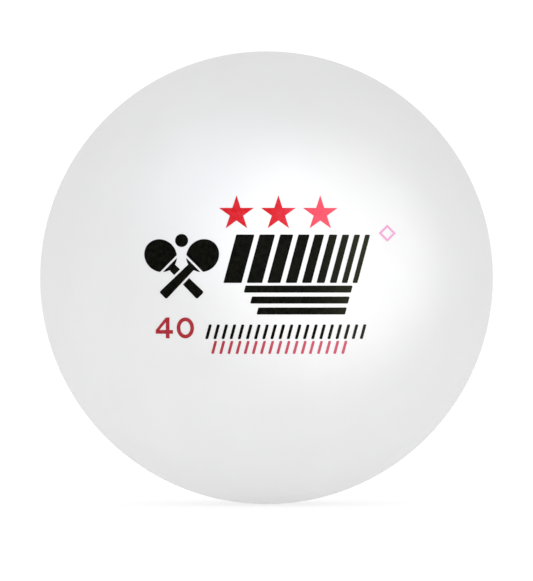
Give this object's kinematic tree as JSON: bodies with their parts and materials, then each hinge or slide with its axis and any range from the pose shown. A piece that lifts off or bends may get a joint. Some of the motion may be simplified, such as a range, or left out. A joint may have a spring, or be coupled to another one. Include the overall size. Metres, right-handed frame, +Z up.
{
  "type": "table tennis ball",
  "caption": "Hollow white plastic table tennis ball, moulded as two half shells cemented at a hairline seam, with red and black pad-printed marks on one side.",
  "frame": {"origin": "centre of the ball", "axes": "+Y runs through both poles, square to the joint between the halves, and -Y leaves through the middle of the printed side; +Z is up as the print reads"},
  "size_m": [0.0402, 0.0402, 0.0402],
  "materials": {
    "shell": "matte",
    "cement": "satin",
    "red_ink": "satin",
    "black_ink": "satin",
    "pink_ink": "satin"
  },
  "bodies": {
    "root": {"front_half_shell": "shell", "rear_half_shell": "shell", "joint_cement": "cement", "star_left": "red_ink", "star_middle": "red_ink", "star_right": "red_ink", "emblem": "black_ink", "streaks": "black_ink", "size_numerals": "red_ink", "black_row": "black_ink", "red_row": "red_ink", "lozenge": "pink_ink"}
  },
  "joints": []
}
